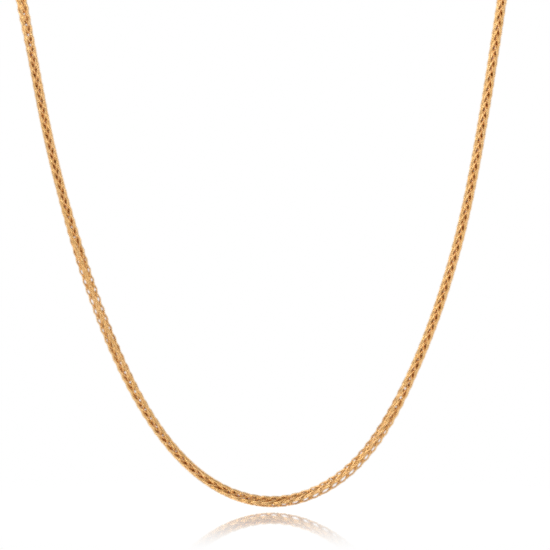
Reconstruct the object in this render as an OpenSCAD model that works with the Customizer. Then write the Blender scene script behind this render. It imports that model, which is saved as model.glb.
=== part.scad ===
// Foxtail chain necklace, as it hangs when worn. Millimetres, +Z up, +X to the right.
// The front of the loop hangs in an upright plane on the -Y side, and the clasp lies at
// the nape, where the origin is.

/* [Chain] */
// Width of the chain across its links
chain_w = 2.4; // [2:0.1:2.6]
// Sides of the chain's tube
chain_sides = 8; // [8:1:10]
// Distance between the tube's rings along the chain
chain_step = 7; // [7:0.5:9]

/* [End rings] */
// Outer width of an end ring
ring_w = 4.1; // [3.7:0.1:4.5]
// Thickness of an end ring's wire
ring_wire = 0.7; // [0.5:0.1:0.7]

/* [Clasp] */
// Outer width of the bolt ring
clasp_w = 7.6; // [7:0.2:8.6]
// Thickness of the bolt ring's tube
clasp_tube = 1.4; // [1:0.1:1.6]
// Outer width of the small eye that the left end ring hangs in
eye_w = 2.9; // [2.7:0.1:3.3]
// Thickness of the eye's wire
eye_wire = 0.7; // [0.6:0.1:0.7]
// Thickness of the thumb stub
stub_d = 0.8; // [0.6:0.1:1]
// How far the thumb stub stands out of the bolt ring
stub_out = 1.1; // [0.8:0.1:1.4]
// Direction of the thumb stub, up from the right
stub_angle = 52; // [40:1:70]

/* [Hidden] */

gold = [0.88, 0.63, 0.34];
// Air left where one ring hangs in another
play = 0.1;
// How deep the eye and the stub are soldered into the bolt ring
solder = 0.35;

// The clasp and its two rings lie in a row along X. These places are measured from the bolt ring's middle.
eye_x = -(clasp_w / 2 + eye_w / 2 - solder);
left_ring_x = eye_x - eye_w / 2 + eye_wire + play + ring_wire - ring_w / 2;
right_ring_x = clasp_w / 2 - clasp_tube - play - ring_wire + ring_w / 2;
left_end = left_ring_x - ring_w / 2 - play;
right_end = right_ring_x + ring_w / 2 + play;

// The row is moved so that the chain's two ends are as far from the origin on either side.
clasp_x = -(left_end + right_end) / 2;
closure = (right_end - left_end) / 2;

// Middle line of the chain between its ends, from the left end ring round the front to the
// right one. A smooth curve passes close by these points.
front_y = -90;
route = [
    [-16, -1, 0], [-30, -7, -1], [-42.5, -18, -3], [-51, -33, -5.5], [-55, -50, -8], [-57, -67, -11],
    [-57.5, -81, -17], [-56, -88.5, -27],
    [-54, front_y, -40], [-50.5, front_y, -57], [-47, front_y, -76.5], [-41.5, front_y, -97],
    [-35, front_y, -116.5], [-27, front_y, -134], [-17.5, front_y, -147], [-6.5, front_y, -154.5],
    [5.5, front_y, -156], [17, front_y, -151], [25.5, front_y, -142], [32.5, front_y, -129],
    [39, front_y, -113], [44.5, front_y, -94], [48, front_y, -75.5], [51, front_y, -57],
    [53.5, front_y, -40],
    [56, -88.5, -27], [57.5, -81, -17], [57, -67, -11], [55, -50, -8], [51, -33, -5.5],
    [42.5, -18, -3], [30, -7, -1], [16, -1, 0]
];

// The route with the chain's two ends, and one point beyond each so that the curve reaches them
ends = [[-closure, 0, 0], [closure, 0, 0]];
control = concat(
    [2 * ends[0] - route[0], ends[0]], route, [ends[1], 2 * ends[1] - route[len(route) - 1]]
);

// One point of a uniform cubic B-spline, at t from 0 to 1 between the control points b and c
function curve_point(a, b, c, d, t) = (
    pow(1 - t, 3) * a + (3 * pow(t, 3) - 6 * t * t + 4) * b
    + (-3 * pow(t, 3) + 3 * t * t + 3 * t + 1) * c + pow(t, 3) * d
) / 6;

// Points along the whole curve, about one step apart
function curve(p, step) = concat(
    [for (i = [1 : len(p) - 3])
        let (n = max(1, round(norm(p[i + 1] - p[i]) / step)))
        for (k = [0 : n - 1]) curve_point(p[i - 1], p[i], p[i + 1], p[i + 2], k / n)],
    [p[len(p) - 2]]
);

function unit(v) = v / norm(v);
function ahead(p, i) = unit(p[min(i + 1, len(p) - 1)] - p[max(i - 1, 0)]);
function square_to(v, t) = unit(v - (v * t) * t);

// A side direction for each ring, carried along the curve so that the tube doesn't twist
function sides_along(p) = [
    for (i = 0, side = [0, 0, 1]; i < len(p); i = i + 1, side = square_to(side, ahead(p, min(i, len(p) - 1))))
        square_to(side, ahead(p, i))
];

// A closed tube of width w along the points p
module tube(p, w, n) {
    side = sides_along(p);
    last = (len(p) - 1) * n;
    points = [
        for (i = [0 : len(p) - 1])
            let (u = side[i], v = cross(ahead(p, i), u))
            for (k = [0 : n - 1]) p[i] + w / 2 * (cos(360 * k / n) * u + sin(360 * k / n) * v)
    ];
    walls = [
        for (i = [0 : len(p) - 2], k = [0 : n - 1])
            let (a = i * n + k, b = i * n + (k + 1) % n)
            each [[a, a + n, b + n], [a, b + n, b]]
    ];
    caps = [[for (k = [0 : n - 1]) k], [for (k = [n - 1 : -1 : 0]) last + k]];
    polyhedron(points, concat(caps, walls));
}

// A round ring of outer width w and wire thickness wire, lying flat
module ring(w, wire) {
    rotate_extrude($fn = 64) translate([(w - wire) / 2, 0]) circle(d = wire, $fn = 32);
}

module chain() {
    color(gold) tube(curve(control, chain_step), chain_w, chain_sides);
}

module end_ring_left() {
    color(gold) translate([clasp_x + left_ring_x, 0, 0]) ring(ring_w, ring_wire);
}

module end_ring_right() {
    color(gold) translate([clasp_x + right_ring_x, 0, 0]) ring(ring_w, ring_wire);
}

module clasp() {
    color(gold) translate([clasp_x, 0, 0]) {
        rotate([90, 0, 0]) ring(clasp_w, clasp_tube);
        translate([eye_x, 0, 0]) rotate([90, 0, 0]) ring(eye_w, eye_wire);
        rotate([0, 90 - stub_angle, 0])
            translate([0, 0, clasp_w / 2 - solder]) cylinder(h = stub_out + solder, d = stub_d, $fn = 32);
    }
}

chain();
end_ring_left();
end_ring_right();
clasp();
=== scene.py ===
# %% [markdown]
# # A foxtail chain of yellow gold, hanging in a loop
#
# A foxtail chain is knitted from rings of thin wire. Each ring is soldered shut, squeezed to
# a long figure of eight and folded in half, so that it has two ears standing side by side.
# The next ring is pushed through both ears, a quarter turn round, and so on for hundreds of
# rings. What comes out is a supple square cord of gold that shows plaits on its faces and
# small see-through windows along its edges.
#
# The lesson makes one link from a spun ring, folds it to a drawing, sets 464 of them in a row
# along the necklace's line, and then gives them a polished finish. It copies how the weave
# looks from outside. Unlike a goldsmith's links, these aren't threaded through each other,
# and inside the chain their wires run into one another.

# %% The frame
import math
import random

import bmesh
import bpy
from mathutils import Matrix, Vector


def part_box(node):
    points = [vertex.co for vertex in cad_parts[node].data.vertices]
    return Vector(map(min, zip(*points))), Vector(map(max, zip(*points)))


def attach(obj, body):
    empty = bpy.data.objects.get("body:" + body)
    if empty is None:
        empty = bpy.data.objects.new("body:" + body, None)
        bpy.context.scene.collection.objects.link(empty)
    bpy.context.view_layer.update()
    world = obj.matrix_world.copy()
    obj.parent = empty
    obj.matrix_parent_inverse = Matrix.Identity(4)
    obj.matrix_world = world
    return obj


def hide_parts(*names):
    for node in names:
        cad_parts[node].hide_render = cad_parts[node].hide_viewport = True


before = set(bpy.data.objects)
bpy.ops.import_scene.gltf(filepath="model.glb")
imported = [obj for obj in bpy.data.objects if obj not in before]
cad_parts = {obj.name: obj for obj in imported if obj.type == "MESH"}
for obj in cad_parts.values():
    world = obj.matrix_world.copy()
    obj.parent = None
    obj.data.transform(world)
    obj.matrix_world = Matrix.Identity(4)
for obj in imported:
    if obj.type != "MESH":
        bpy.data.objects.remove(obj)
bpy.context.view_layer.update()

# %% [markdown]
# ## Units and the picture's plane
#
# Everything is in metres, and the drawing's sizes are in millimetres, so each size is
# written in millimetres and multiplied once. The visible loop hangs in one upright plane.
# Its place is taken from the frame: the plane goes through the middle of the chain's front.

# %% Units
MM = 0.001
CHAIN_WIDTH = 2.4 * MM
chain_low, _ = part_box("chain")
front_y = chain_low.y + CHAIN_WIDTH / 2
print("The loop hangs in the plane y =", round(front_y / MM, 2), "mm")

# %% [markdown]
# ## The camera
#
# The chain is seen square on, from a normal distance for a studio picture of jewellery, with
# a long lens. The lens is worked out from the two facts that are known: how far away the
# camera stands, and how wide a piece of the loop's plane the picture shows.

# %% The camera
CAMERA_AWAY = 600 * MM
PICTURE_WIDTH = 121 * MM
PICTURE_MIDDLE_X = 2.86 * MM
PICTURE_MIDDLE_Z = -105.5 * MM
SENSOR_WIDTH = 36

camera_data = bpy.data.cameras.new("camera")
camera_data.sensor_width = SENSOR_WIDTH
camera_data.lens = SENSOR_WIDTH * CAMERA_AWAY / PICTURE_WIDTH
camera_data.clip_start = 10 * MM
camera = bpy.data.objects.new("camera", camera_data)
camera.location = (PICTURE_MIDDLE_X, front_y - CAMERA_AWAY, PICTURE_MIDDLE_Z)
camera.rotation_euler = (math.pi / 2, 0, 0)
bpy.context.scene.collection.objects.link(camera)
bpy.context.scene.camera = camera
print("Lens:", round(camera_data.lens), "mm")

# %% [markdown]
# ## The studio
#
# Polished metal shows nothing but its surroundings, so the light is half of the finish. A
# plain white room would make gold look like pale plastic. The room here is bright behind the
# chain and dim behind the camera, and big soft lamps draw the long highlights along each
# wire. The key lamp is near, above and to the left, so that the left strand is a little
# brighter than the right one. The camera itself sees a white background.

# %% The room
scene = bpy.context.scene
scene.view_settings.view_transform = "Standard"
# A slightly wide pixel filter gives the soft drawing of a studio photograph
scene.cycles.filter_width = 2.2

ROOM_DIM = 0.30
ROOM_BRIGHT = 1.15
# The room's light grows between these two directions, from -1 towards the viewer to 1 behind
GROWS_FROM = -0.2
GROWS_TO = 0.7

room = bpy.data.worlds.new("room")
room.use_nodes = True
scene.world = room
nodes = room.node_tree.nodes
links = room.node_tree.links
direction = nodes.new("ShaderNodeTexCoord")
parts = nodes.new("ShaderNodeSeparateXYZ")
backdrop = nodes.new("ShaderNodeMapRange")
backdrop.interpolation_type = "SMOOTHSTEP"
backdrop.inputs["From Min"].default_value = GROWS_FROM
backdrop.inputs["From Max"].default_value = GROWS_TO
backdrop.inputs["To Min"].default_value = ROOM_DIM
backdrop.inputs["To Max"].default_value = ROOM_BRIGHT
room_light = nodes["Background"]
white = nodes.new("ShaderNodeBackground")
white.inputs["Color"].default_value = (1, 1, 1, 1)
seen = nodes.new("ShaderNodeLightPath")
choose = nodes.new("ShaderNodeMixShader")
links.new(direction.outputs["Generated"], parts.inputs[0])
links.new(parts.outputs["Y"], backdrop.inputs["Value"])
links.new(backdrop.outputs[0], room_light.inputs["Strength"])
room_light.inputs["Color"].default_value = (1, 1, 1, 1)
links.new(seen.outputs["Is Camera Ray"], choose.inputs[0])
links.new(room_light.outputs[0], choose.inputs[1])
links.new(white.outputs[0], choose.inputs[2])
links.new(choose.outputs[0], nodes["World Output"].inputs["Surface"])


# %% The lamps
def soft_lamp(name, place, target, size, power):
    """A square area lamp at place, turned to face target."""
    data = bpy.data.lights.new(name, "AREA")
    data.size = size
    data.energy = power
    lamp = bpy.data.objects.new(name, data)
    lamp.location = place
    lamp.rotation_euler = (Vector(target) - Vector(place)).to_track_quat("-Z", "Y").to_euler()
    scene.collection.objects.link(lamp)
    return lamp


# Each lamp's place from the loop's middle and its size in metres, and its power in watts
KEY_AWAY = Vector((-0.24, -0.34, 0.32))
KEY_SIZE = 0.30
KEY_POWER = 1.35
FILL_AWAY = Vector((0.6, -0.5, 0.2))
FILL_SIZE = 0.32
FILL_POWER = 1.0

loop_middle = Vector((PICTURE_MIDDLE_X, front_y, PICTURE_MIDDLE_Z))
key_lamp = soft_lamp("key_lamp", loop_middle + KEY_AWAY, loop_middle, KEY_SIZE, KEY_POWER)
fill_lamp = soft_lamp("fill_lamp", loop_middle + FILL_AWAY, loop_middle, FILL_SIZE, FILL_POWER)
print("Lamps:", key_lamp.name, fill_lamp.name)

# %% [markdown]
# ## The floor
#
# The loop hangs just above a sheet of glossy white acrylic, which repeats its lowest part as
# a faint mirror image. The sheet is lit from below, so it is as white as the background and
# takes no shadow. Its gloss is strongest under the loop's lowest part and fades all round it.

# %% The floor
FLOOR_Z = -157.2 * MM
FLOOR_HALF = 2.0
GLOSS_AT_LOOP = 0.71
GLOSS_FADE = 92 * MM
GLOSS_ROUGHNESS = 0.035
UNDER_LOOP = (PICTURE_MIDDLE_X, front_y, FLOOR_Z)

bm = bmesh.new()
bmesh.ops.create_grid(bm, x_segments=1, y_segments=1, size=FLOOR_HALF)
bmesh.ops.translate(bm, verts=bm.verts, vec=(0, 0, FLOOR_Z))
floor_mesh = bpy.data.meshes.new("floor")
bm.to_mesh(floor_mesh)
bm.free()
floor = bpy.data.objects.new("floor", floor_mesh)
scene.collection.objects.link(floor)

acrylic = bpy.data.materials.new("white_acrylic")
acrylic.use_nodes = True
nodes = acrylic.node_tree.nodes
links = acrylic.node_tree.links
nodes.clear()
output = nodes.new("ShaderNodeOutputMaterial")
glow = nodes.new("ShaderNodeEmission")
glow.inputs["Color"].default_value = (1, 1, 1, 1)
gloss = nodes.new("ShaderNodeBsdfGlossy")
gloss.inputs["Color"].default_value = (1, 1, 1, 1)
gloss.inputs["Roughness"].default_value = GLOSS_ROUGHNESS
place = nodes.new("ShaderNodeTexCoord")
away_from_loop = nodes.new("ShaderNodeVectorMath")
away_from_loop.operation = "DISTANCE"
away_from_loop.inputs[1].default_value = UNDER_LOOP
fade = nodes.new("ShaderNodeMapRange")
fade.interpolation_type = "SMOOTHSTEP"
fade.inputs["From Min"].default_value = 0
fade.inputs["From Max"].default_value = GLOSS_FADE
fade.inputs["To Min"].default_value = GLOSS_AT_LOOP
fade.inputs["To Max"].default_value = 0
mix = nodes.new("ShaderNodeMixShader")
links.new(place.outputs["Object"], away_from_loop.inputs[0])
links.new(away_from_loop.outputs["Value"], fade.inputs["Value"])
links.new(fade.outputs[0], mix.inputs[0])
links.new(glow.outputs[0], mix.inputs[1])
links.new(gloss.outputs[0], mix.inputs[2])
links.new(mix.outputs[0], output.inputs["Surface"])
floor_mesh.materials.append(acrylic)
print("Floor at z =", round(FLOOR_Z / MM, 1), "mm")

# %% [markdown]
# ## The chain's line
#
# A chain that hangs from two points takes the form of a catenary, and this one goes on round
# the neck to its clasp. The line is a smooth curve that passes close by a few points, the
# same ones that the solid model uses. They are in millimetres, from the left end ring round
# the front to the right one, and both ends are the same distance from the clasp's middle.

# %% The line's points
FRONT_Y = -90
ROUTE = [
    (-16, -1, 0), (-30, -7, -1), (-42.5, -18, -3), (-51, -33, -5.5), (-55, -50, -8), (-57, -67, -11),
    (-57.5, -81, -17), (-56, -88.5, -27),
    (-54, FRONT_Y, -40), (-50.5, FRONT_Y, -57), (-47, FRONT_Y, -76.5), (-41.5, FRONT_Y, -97),
    (-35, FRONT_Y, -116.5), (-27, FRONT_Y, -134), (-17.5, FRONT_Y, -147), (-6.5, FRONT_Y, -154.5),
    (5.5, FRONT_Y, -156), (17, FRONT_Y, -151), (25.5, FRONT_Y, -142), (32.5, FRONT_Y, -129),
    (39, FRONT_Y, -113), (44.5, FRONT_Y, -94), (48, FRONT_Y, -75.5), (51, FRONT_Y, -57),
    (53.5, FRONT_Y, -40),
    (56, -88.5, -27), (57.5, -81, -17), (57, -67, -11), (55, -50, -8), (51, -33, -5.5),
    (42.5, -18, -3), (30, -7, -1), (16, -1, 0),
]
END_GAP = 0.1 * MM

left_end = Vector((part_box("end_ring_left")[0].x - END_GAP, 0, 0))
right_end = Vector((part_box("end_ring_right")[1].x + END_GAP, 0, 0))
route = [Vector(point) * MM for point in ROUTE]
control = [2 * left_end - route[0], left_end, *route, right_end, 2 * right_end - route[-1]]
print("The chain ends at x =", round(left_end.x / MM, 3), "and", round(right_end.x / MM, 3), "mm")


# %% The line, step by step
def curve_point(a, b, c, d, t):
    """One point of a uniform cubic B-spline, at t from 0 to 1 between the points b and c."""
    return ((1 - t) ** 3 * a + (3 * t ** 3 - 6 * t * t + 4) * b
            + (-3 * t ** 3 + 3 * t * t + 3 * t + 1) * c + t ** 3 * d) / 6


STEPS_PER_POINT = 60
line = [
    curve_point(*control[i:i + 4], k / STEPS_PER_POINT)
    for i in range(len(control) - 3)
    for k in range(STEPS_PER_POINT)
] + [right_end]

# How far each point is along the line
reach = [0.0]
for before, after in zip(line, line[1:]):
    reach.append(reach[-1] + (after - before).length)
chain_length = reach[-1]
print("Length of chain:", round(chain_length / MM, 1), "mm")


# %% [markdown]
# ## Directions along the line
#
# Each link needs to know which way the chain runs and which way is its side. A side direction
# is carried from one step of the line to the next and kept square to it, so that the chain
# isn't twisted by its own bends. At the lowest point of the loop it starts by facing the
# viewer.

# %% Sides carried along the line
def ahead(i):
    return (line[min(i + 1, len(line) - 1)] - line[max(i - 1, 0)]).normalized()


def square_to(side, run):
    return (side - side.dot(run) * run).normalized()


lowest = min(range(len(line)), key=lambda i: line[i].z)
sides = [None] * len(line)
sides[lowest] = square_to(Vector((0, -1, 0)), ahead(lowest))
for i in range(lowest + 1, len(line)):
    sides[i] = square_to(sides[i - 1], ahead(i))
for i in range(lowest - 1, -1, -1):
    sides[i] = square_to(sides[i + 1], ahead(i))


def at_reach(distance):
    """Place, running direction and side direction at a distance along the line."""
    low, high = 0, len(reach) - 1
    while high - low > 1:
        middle = (low + high) // 2
        if reach[middle] <= distance:
            low = middle
        else:
            high = middle
    share = (distance - reach[low]) / (reach[high] - reach[low])
    run = ahead(low).lerp(ahead(high), share).normalized()
    return line[low].lerp(line[high], share), run, square_to(sides[low].lerp(sides[high], share), run)


print("Lowest point of the line:", [round(v / MM, 1) for v in line[lowest]])

# %% [markdown]
# ## One link
#
# A link starts as the goldsmith's does, as a plain ring of round wire. A small circle is spun
# once round an axis and its seam is merged. It could be drawn as a bent tube, but the spin
# gives an even ring with faces in order, which is what the folding needs.

# %% A ring of round wire
WIRE = 0.40 * MM
WIRE_SIDES = 6
RING_RADIUS = 3 * MM


def spun_ring(radius, wire, steps, sides_of_wire):
    """A ring that lies in the XY plane, with steps sections and a wire of a few sides."""
    ring = bmesh.new()
    bmesh.ops.create_circle(ring, radius=wire / 2, segments=sides_of_wire)
    bmesh.ops.rotate(ring, verts=ring.verts, cent=(0, 0, 0), matrix=Matrix.Rotation(math.pi / 2, 3, "X"))
    bmesh.ops.translate(ring, verts=ring.verts, vec=(radius, 0, 0))
    bmesh.ops.spin(
        ring, geom=ring.verts[:] + ring.edges[:], cent=(0, 0, 0), axis=(0, 0, 1),
        angle=2 * math.pi, steps=steps, use_merge=True, use_duplicate=False,
    )
    bmesh.ops.recalc_face_normals(ring, faces=ring.faces)
    return ring


# %% [markdown]
# ## Folding the link
#
# The ring is squeezed to a figure of eight whose two wires cross in the middle, and folded
# there, so that two open ears point back along the chain. The drawing gives a few points
# near one wire of one ear, from the crossing to the tip. The other wire and the other ear
# are the same points mirrored, and the smooth curve that drew the necklace's line now runs
# round all of them.

# %% The drawing of a link
# Millimetres out from the chain's middle, to the side of the ear, and back along the chain
LEG = [
    (0.20, 0.60, -0.30),
    (0.25, 0.55, 0.70),
    (0.80, 0.40, 1.60),
    (1.30, 0.10, 2.95),
    (0.70, 0.20, 4.40),
]
TIP = (0.95, 0.00, 4.85)
# How far the crossing wires stand from the fold's middle, and how far the next point does
CROSSING = 0.25
CROSSING_NEXT = 0.05


def one_leg(side):
    """The points of the wire on one side of an ear, from the crossing towards the tip."""
    (out, aside, back), *rest = LEG
    start = [(0, 0, -side * CROSSING), (out, side * aside, back - side * CROSSING_NEXT)]
    return start + [(out, side * aside, back) for out, aside, back in rest]


def half_turned(points):
    """The same points on the other ear, half a turn round the chain's middle."""
    return [(-out, -aside, back) for out, aside, back in points]


upper, lower = one_leg(1), one_leg(-1)
drawing = [
    *upper, TIP, *lower[::-1],
    *half_turned(lower[1:]), *half_turned([TIP]), *half_turned(upper[:0:-1]),
]
drawing = [Vector(point) * MM for point in drawing]
count = len(drawing)
link_line = [
    curve_point(*(drawing[(i + k) % count] for k in (-1, 0, 1, 2)), 0) for i in range(count)
]
link_wire_length = sum((b - a).length for a, b in zip(link_line, link_line[1:] + link_line[:1]))
print(count, "points round a link, and", round(link_wire_length / MM, 1), "mm of wire")


# %% The ring takes the drawing's form
# Any direction that the wire doesn't run along at its first point
FIRST_DIRECTION = Vector((0.3, 0.2, 1))


def directions_round(points):
    """Two directions square to a closed line at each of its points, without a sudden turn."""
    count = len(points)
    runs = [(points[(i + 1) % count] - points[i - 1]).normalized() for i in range(count)]
    carried = [square_to(FIRST_DIRECTION, runs[0])]
    for i in range(1, count):
        carried.append(square_to(carried[-1], runs[i]))
    last = square_to(carried[-1], runs[0])
    gap = math.atan2(carried[0].cross(last).dot(runs[0]), carried[0].dot(last))
    result = []
    for i in range(count):
        first = Matrix.Rotation(-gap * i / count, 3, runs[i]) @ carried[i]
        result.append((first, runs[i].cross(first)))
    return result


def fold(ring, radius, points):
    """Moves the sections of a spun ring to the points, each square to the line."""
    directions = directions_round(points)
    for vert in ring.verts:
        turn = math.atan2(vert.co.y, vert.co.x) / (2 * math.pi)
        section = round(turn * len(points)) % len(points)
        first, second = directions[section]
        vert.co = points[section] + first * (vert.co.xy.length - radius) + second * vert.co.z
    # The faces still hold their normals from before the fold, which mislead the recalculation
    ring.normal_update()
    bmesh.ops.recalc_face_normals(ring, faces=ring.faces)


ring = spun_ring(RING_RADIUS, WIRE, len(link_line), WIRE_SIDES)
fold(ring, RING_RADIUS, link_line)
link_volume = ring.calc_volume(signed=True) / MM ** 3
print("A link's volume, above zero where its faces point outwards:", round(link_volume, 2), "mm3")
link_mesh = bpy.data.meshes.new("one_link")
ring.to_mesh(link_mesh)
ring.free()
print("A link has", len(link_mesh.vertices), "corners and", len(link_mesh.polygons), "faces")

# %% How deep in the chain each corner of a link lies
# 0 on the chain's outside and 1 at its middle line. The chain's gold is darkened towards 1 as painted shade,
# and is duller there, where no polishing mop reaches
OUTSIDE = 1.15 * MM
link_depth = [1 - min(1, vert.co.xy.length / OUTSIDE) for vert in link_mesh.vertices]
print("Mean depth of a link's wire:", round(sum(link_depth) / len(link_depth), 2))

# %% [markdown]
# ## The links in a row
#
# Links follow each other at a fixed pitch, each a quarter turn round from the last. The tip of
# each ear dips through the ear of the link two before it, and this gives the plaits. No fold
# goes through an ear, so real links of this form would slide apart. A chain never hangs quite
# straight in its turn: it rolls a little one way and then the other, which is why one stretch
# shows windows at its edges and the next one shows plaits. Every third link also sits slightly
# farther along, a trace of the way that such a chain is knitted.

# %% The chain's pitch and turn
def plain_value(rows, x):
    """A value from rows of place and value, straight between the rows."""
    i = 0
    while i < len(rows) - 2 and x > rows[i + 1][0]:
        i += 1
    (x0, y0), (x1, y1) = rows[i], rows[i + 1]
    return y0 + (y1 - y0) * (x - x0) / (x1 - x0)


PITCH = 1.1415 * MM
THIRD_LINK_SHIFT = 0.15 * MM
# Millimetres along the line, then how far the chain is turned there, in degrees
TURNS = [
    (0, -90), (140, -15), (155, -45), (183, -40), (193, -27), (202, 0), (212, 10), (228, 35),
    (256, 50), (268, 70), (280, 90), (300, 105), (315, 135), (535, 135),
]


def chain_turn(distance):
    return math.radians(plain_value(TURNS, distance / MM))


link_reach = max(point.z for point in link_line) + WIRE / 2
link_count = int((chain_length - link_reach - WIRE / 2) / PITCH) + 1
first_place = (chain_length - (link_count - 1) * PITCH + link_reach - WIRE / 2) / 2
print(link_count, "links from", round(first_place / MM, 2), "mm along the line")

# %% The links in their places
TONE_SEED = 7

rng = random.Random(TONE_SEED)
chain_bm = bmesh.new()
tone = chain_bm.verts.layers.float.new("link_tone")
depth = chain_bm.verts.layers.float.new("depth")
for number in range(link_count):
    distance = first_place + number * PITCH
    if number % 3 == 0:
        distance += THIRD_LINK_SHIFT
    centre, run, side = at_reach(distance)
    # Two directions square to the chain: away from the viewer, and to the loop's inside
    away = -side
    inside = run.cross(away)
    angle = chain_turn(distance) + (number % 2) * math.pi / 2
    across = away * math.sin(angle) + inside * math.cos(angle)
    back = -run
    start = len(chain_bm.verts)
    chain_bm.from_mesh(link_mesh)
    chain_bm.verts.ensure_lookup_table()
    new = chain_bm.verts[start:]
    matrix = Matrix((across, back.cross(across), back)).transposed().to_4x4()
    matrix.translation = centre
    bmesh.ops.transform(chain_bm, verts=new, matrix=matrix)
    link_tone = rng.random()
    for vert, vert_depth in zip(new, link_depth):
        vert[tone] = link_tone
        vert[depth] = vert_depth

# %% [markdown]
# ## The chain's ends
#
# At each end a small round ring is soldered into the last links, and the end ring hangs in
# it. It stands upright, because the end ring lies flat, and it is as thin as the links' own
# wire, so that it passes for one more link.

# %% The small rings at the ends
JUMP_WIRE = 0.4 * MM
JUMP_RADIUS = 0.93 * MM
JUMP_STEPS = 18
# How far the small ring's inner side stays inside the end ring's wire
JUMP_PLAY = 0.06 * MM
JUMP_TONE = 0.5
END_RING_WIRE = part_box("end_ring_left")[1].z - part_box("end_ring_left")[0].z

jump_ring = spun_ring(JUMP_RADIUS, JUMP_WIRE, JUMP_STEPS, WIRE_SIDES)
bmesh.ops.rotate(
    jump_ring, verts=jump_ring.verts, cent=(0, 0, 0), matrix=Matrix.Rotation(math.pi / 2, 3, "X"),
)
jump_mesh = bpy.data.meshes.new("one_jump_ring")
jump_ring.to_mesh(jump_mesh)
jump_ring.free()
for end, outward in ((left_end, -1), (right_end, 1)):
    start = len(chain_bm.verts)
    chain_bm.from_mesh(jump_mesh)
    chain_bm.verts.ensure_lookup_table()
    wire_middle = JUMP_RADIUS - JUMP_WIRE / 2 - JUMP_PLAY - END_RING_WIRE - END_GAP
    middle = end + Vector((outward * wire_middle, 0, 0))
    bmesh.ops.translate(chain_bm, verts=chain_bm.verts[start:], vec=middle)
    for vert in chain_bm.verts[start:]:
        vert[tone] = JUMP_TONE

for face in chain_bm.faces:
    face.smooth = True
chain_mesh = bpy.data.meshes.new("chain_links")
chain_bm.to_mesh(chain_mesh)
chain_bm.free()
chain_links = bpy.data.objects.new("chain_links", chain_mesh)
scene.collection.objects.link(chain_links)
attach(chain_links, "root")
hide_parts("chain")
print("Triangles in the chain:", 2 * len(chain_mesh.polygons))


# %% [markdown]
# ## The finish
#
# Polished yellow gold is a bare metal: all of its colour is in its reflections, and it turns
# deeper wherever light bounces twice between wires. Two effects are shared by every gold
# piece, so each is a node group that a material places with its own values. The alloy's tone
# wanders a little, because the wire came from several draws. And the polish is uneven and has
# hair scratches, which show only where a highlight crosses them.

# %% A helper for node groups
def new_group(name, inputs, outputs):
    """A shader node group with named sockets, and its two end nodes."""
    group = bpy.data.node_groups.new(name, "ShaderNodeTree")
    for label, kind, value in inputs:
        socket = group.interface.new_socket(label, in_out="INPUT", socket_type=kind)
        socket.default_value = value
    for label, kind in outputs:
        group.interface.new_socket(label, in_out="OUTPUT", socket_type=kind)
    start = group.nodes.new("NodeGroupInput")
    end = group.nodes.new("NodeGroupOutput")
    return group, start, end


def math_node(tree, operation, first, second):
    """A Math node whose inputs are numbers or other nodes' outputs. Returns its output."""
    node = tree.nodes.new("ShaderNodeMath")
    node.operation = operation
    for socket, value in zip(node.inputs, (first, second)):
        if isinstance(value, (int, float)):
            socket.default_value = value
        else:
            tree.links.new(value, socket)
    return node.outputs[0]


# %% The alloy's tone
alloy_tone, start, end = new_group(
    "alloy_tone",
    [
        ("Gold", "NodeSocketColor", (0.95, 0.60, 0.26, 1)),
        ("Deeper gold", "NodeSocketColor", (0.88, 0.48, 0.17, 1)),
        ("Patches per metre", "NodeSocketFloat", 200),
        ("Unevenness", "NodeSocketFloat", 0.5),
        ("Own tone", "NodeSocketFloat", 0.5),
    ],
    [("Colour", "NodeSocketColor")],
)
place = alloy_tone.nodes.new("ShaderNodeTexCoord")
patches = alloy_tone.nodes.new("ShaderNodeTexNoise")
patches.inputs["Detail"].default_value = 3
blend = alloy_tone.nodes.new("ShaderNodeMix")
blend.data_type = "RGBA"
alloy_tone.links.new(place.outputs["Object"], patches.inputs["Vector"])
alloy_tone.links.new(start.outputs["Patches per metre"], patches.inputs["Scale"])
both = math_node(alloy_tone, "ADD", patches.outputs[0], start.outputs["Own tone"])
share = math_node(alloy_tone, "MULTIPLY", both, start.outputs["Unevenness"])
alloy_tone.links.new(share, blend.inputs["Factor"])
alloy_tone.links.new(start.outputs["Gold"], blend.inputs["A"])
alloy_tone.links.new(start.outputs["Deeper gold"], blend.inputs["B"])
alloy_tone.links.new(blend.outputs["Result"], end.inputs["Colour"])
print("Group:", alloy_tone.name)

# %% The worn polish
# Noise values between which the polish goes from bright to dull
BRIGHT_BELOW = 0.3
DULL_ABOVE = 0.7

worn_polish, start, end = new_group(
    "worn_polish",
    [
        ("Polished roughness", "NodeSocketFloat", 0.25),
        ("Dull roughness", "NodeSocketFloat", 0.4),
        ("Patches per metre", "NodeSocketFloat", 600),
        ("Scratches per metre", "NodeSocketFloat", 1500),
    ],
    [("Roughness", "NodeSocketFloat"), ("Height", "NodeSocketFloat")],
)
place = worn_polish.nodes.new("ShaderNodeTexCoord")
patches = worn_polish.nodes.new("ShaderNodeTexNoise")
patches.inputs["Detail"].default_value = 2
worn_polish.links.new(place.outputs["Object"], patches.inputs["Vector"])
worn_polish.links.new(start.outputs["Patches per metre"], patches.inputs["Scale"])
spread = worn_polish.nodes.new("ShaderNodeMapRange")
spread.inputs["From Min"].default_value = BRIGHT_BELOW
spread.inputs["From Max"].default_value = DULL_ABOVE
worn_polish.links.new(patches.outputs[0], spread.inputs["Value"])
worn_polish.links.new(start.outputs["Polished roughness"], spread.inputs["To Min"])
worn_polish.links.new(start.outputs["Dull roughness"], spread.inputs["To Max"])
worn_polish.links.new(spread.outputs[0], end.inputs["Roughness"])

# A hair scratch is a thin contour of a noise that is stretched along one direction
SCRATCH_TURNS = (0.4, 1.9)
SCRATCH_TILT = 0.7
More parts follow.
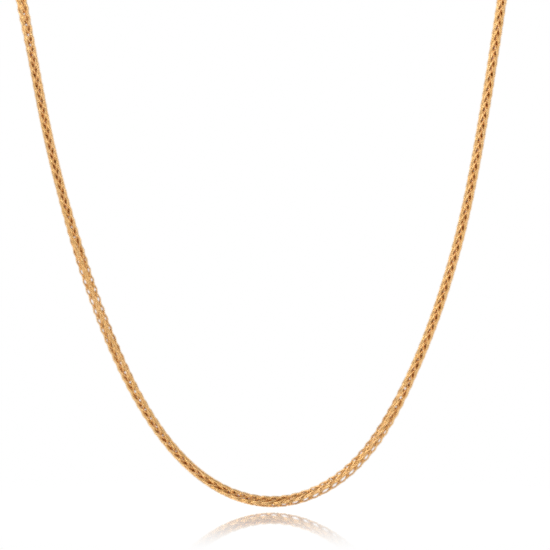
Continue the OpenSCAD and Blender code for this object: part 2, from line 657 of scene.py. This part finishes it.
# The noise's middle value, whose contour the scratch follows
CONTOUR = 0.5
SCRATCH_STRETCH = 0.08
SCRATCH_WIDTH = 0.02
scratch_heights = []
for turn in SCRATCH_TURNS:
    stretched = worn_polish.nodes.new("ShaderNodeMapping")
    stretched.inputs["Rotation"].default_value = (turn, SCRATCH_TILT * turn, turn)
    stretched.inputs["Scale"].default_value = (1, SCRATCH_STRETCH, 1)
    hairs = worn_polish.nodes.new("ShaderNodeTexNoise")
    hairs.inputs["Detail"].default_value = 1
    worn_polish.links.new(place.outputs["Object"], stretched.inputs["Vector"])
    worn_polish.links.new(stretched.outputs[0], hairs.inputs["Vector"])
    worn_polish.links.new(start.outputs["Scratches per metre"], hairs.inputs["Scale"])
    from_contour = math_node(worn_polish, "SUBTRACT", hairs.outputs[0], CONTOUR)
    off_contour = math_node(worn_polish, "ABSOLUTE", from_contour, 0)
    scratch_heights.append(math_node(worn_polish, "MINIMUM", off_contour, SCRATCH_WIDTH))
height = math_node(worn_polish, "DIVIDE", math_node(worn_polish, "ADD", *scratch_heights), 2 * SCRATCH_WIDTH)
worn_polish.links.new(height, end.inputs["Height"])
print("Group:", worn_polish.name)


# %% A gold material with both effects
def gold(name, tone_values, polish_values, scratch_depth):
    """A metal whose colour, roughness and bump come from the two groups."""
    material = bpy.data.materials.new(name)
    material.use_nodes = True
    tree = material.node_tree
    shader = tree.nodes["Principled BSDF"]
    shader.inputs["Metallic"].default_value = 1
    tone_group = tree.nodes.new("ShaderNodeGroup")
    tone_group.node_tree = alloy_tone
    polish_group = tree.nodes.new("ShaderNodeGroup")
    polish_group.node_tree = worn_polish
    for group, values in ((tone_group, tone_values), (polish_group, polish_values)):
        for label, value in values.items():
            group.inputs[label].default_value = value
    bump = tree.nodes.new("ShaderNodeBump")
    bump.inputs["Strength"].default_value = 1
    bump.inputs["Distance"].default_value = scratch_depth
    tree.links.new(tone_group.outputs["Colour"], shader.inputs["Base Color"])
    tree.links.new(polish_group.outputs["Roughness"], shader.inputs["Roughness"])
    tree.links.new(polish_group.outputs["Height"], bump.inputs["Height"])
    tree.links.new(bump.outputs["Normal"], shader.inputs["Normal"])
    return material, tone_group, polish_group, bump


# %% [markdown]
# ## The chain's gold
#
# Deeper in the chain the gold's colour is mixed towards a darker, redder one. This is painted shade,
# standing for the shade that the wires cast on one another there, and it makes the plaits stand out clearly.
# The polishing mop reaches only the outside of a knitted chain, so the roughness also grows towards the
# middle. How deep a point lies was stored in the mesh when the links were set in their places, and each link
# has a tone of its own.

# %% The chain's gold
# The darker, redder colour towards the chain's middle is painted shade
PAINTED_SHADE_COLOUR = (0.80, 0.31, 0.01, 1)
DEEP_ROUGHNESS = 0.55

chain_gold, tone_group, polish_group, _ = gold(
    "chain_gold",
    {
        "Gold": (0.94, 0.63, 0.32, 1), "Deeper gold": (0.89, 0.55, 0.21, 1),
        "Patches per metre": 300, "Unevenness": 0.5,
    },
    {
        "Polished roughness": 0.32, "Dull roughness": 0.42,
        "Patches per metre": 900, "Scratches per metre": 2500,
    },
    0.004 * MM,
)
tree = chain_gold.node_tree
shader = tree.nodes["Principled BSDF"]
own_tone = tree.nodes.new("ShaderNodeAttribute")
own_tone.attribute_name = "link_tone"
tree.links.new(own_tone.outputs["Fac"], tone_group.inputs["Own tone"])
how_deep = tree.nodes.new("ShaderNodeAttribute")
how_deep.attribute_name = "depth"
# Painted shade: the gold is mixed towards the darker colour as the depth grows
painted_shade = tree.nodes.new("ShaderNodeMix")
painted_shade.data_type = "RGBA"
painted_shade.inputs["B"].default_value = PAINTED_SHADE_COLOUR
tree.links.new(how_deep.outputs["Fac"], painted_shade.inputs["Factor"])
tree.links.new(tone_group.outputs["Colour"], painted_shade.inputs["A"])
tree.links.new(painted_shade.outputs["Result"], shader.inputs["Base Color"])
duller = tree.nodes.new("ShaderNodeMix")
duller.inputs["B"].default_value = DEEP_ROUGHNESS
tree.links.new(how_deep.outputs["Fac"], duller.inputs["Factor"])
tree.links.new(polish_group.outputs["Roughness"], duller.inputs["A"])
tree.links.new(duller.outputs["Result"], shader.inputs["Roughness"])
chain_mesh.materials.append(chain_gold)

# %% [markdown]
# ## The end rings' and the clasp's gold
#
# An end ring is bent from wire and soldered shut, and solder is a little paler and duller than the gold
# beside it. The rings' gold draws only the paler colour, as a band on the far side of each ring. The bolt
# ring is a bright hollow tube. Two fine lines across it show where the sliding bolt closes its gate.

# %% The end rings' gold
left_low, left_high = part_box("end_ring_left")
RING_MIDDLE_X = -(left_low.x + left_high.x) / 2
SOLDER_WIDTH = 0.25 * MM
SOLDER = (0.96, 0.70, 0.42, 1)

ring_gold, tone_group, _, _ = gold(
    "ring_gold",
    {
        "Gold": (0.95, 0.61, 0.27, 1), "Deeper gold": (0.90, 0.53, 0.20, 1),
        "Patches per metre": 400, "Unevenness": 0.5,
    },
    {
        "Polished roughness": 0.16, "Dull roughness": 0.34,
        "Patches per metre": 900, "Scratches per metre": 1600,
    },
    0.01 * MM,
)
tree = ring_gold.node_tree
shader = tree.nodes["Principled BSDF"]
place = tree.nodes.new("ShaderNodeTexCoord")
parts = tree.nodes.new("ShaderNodeSeparateXYZ")
tree.links.new(place.outputs["Object"], parts.inputs[0])
from_middle = math_node(tree, "SUBTRACT", math_node(tree, "ABSOLUTE", parts.outputs["X"], 0), RING_MIDDLE_X)
from_seam = math_node(tree, "ABSOLUTE", from_middle, 0)
seam = tree.nodes.new("ShaderNodeMapRange")
seam.interpolation_type = "SMOOTHSTEP"
seam.inputs["From Min"].default_value = SOLDER_WIDTH
seam.inputs["From Max"].default_value = SOLDER_WIDTH / 2
tree.links.new(from_seam, seam.inputs["Value"])
behind = math_node(tree, "GREATER_THAN", parts.outputs["Y"], 0)
seam_mask = math_node(tree, "MULTIPLY", seam.outputs[0], behind)
solder = tree.nodes.new("ShaderNodeMix")
solder.data_type = "RGBA"
solder.inputs["B"].default_value = SOLDER
tree.links.new(seam_mask, solder.inputs["Factor"])
tree.links.new(tone_group.outputs["Colour"], solder.inputs["A"])
tree.links.new(solder.outputs["Result"], shader.inputs["Base Color"])

# %% The clasp's gold
clasp_low, clasp_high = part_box("clasp")
CLASP_MIDDLE_X = clasp_high.x + clasp_low.z
GATE_ANGLES = (22, -48)
GATE_LINE_WIDTH = 1.2

clasp_gold, _, polish_group, bump = gold(
    "clasp_gold",
    {
        "Gold": (0.95, 0.61, 0.27, 1), "Deeper gold": (0.90, 0.53, 0.20, 1),
        "Patches per metre": 250, "Unevenness": 0.45,
    },
    {
        "Polished roughness": 0.12, "Dull roughness": 0.28,
        "Patches per metre": 700, "Scratches per metre": 1200,
    },
    0.02 * MM,
)
tree = clasp_gold.node_tree
place = tree.nodes.new("ShaderNodeTexCoord")
parts = tree.nodes.new("ShaderNodeSeparateXYZ")
tree.links.new(place.outputs["Object"], parts.inputs[0])
across = math_node(tree, "SUBTRACT", parts.outputs["X"], CLASP_MIDDLE_X)
angle = math_node(tree, "ARCTAN2", parts.outputs["Z"], across)
height = polish_group.outputs["Height"]
for gate_angle in GATE_ANGLES:
    off_line = math_node(tree, "SUBTRACT", angle, math.radians(gate_angle))
    near_line = tree.nodes.new("ShaderNodeMapRange")
    near_line.interpolation_type = "SMOOTHSTEP"
    near_line.inputs["From Max"].default_value = math.radians(GATE_LINE_WIDTH)
    tree.links.new(math_node(tree, "ABSOLUTE", off_line, 0), near_line.inputs["Value"])
    height = math_node(tree, "MULTIPLY", height, near_line.outputs[0])
tree.links.new(height, bump.inputs["Height"])

# %% The end rings and the clasp get their gold
for name, material in (("end_ring_left", ring_gold), ("end_ring_right", ring_gold), ("clasp", clasp_gold)):
    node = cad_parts[name]
    node.data.materials.clear()
    node.data.materials.append(material)
    print(name, "is in", material.name)
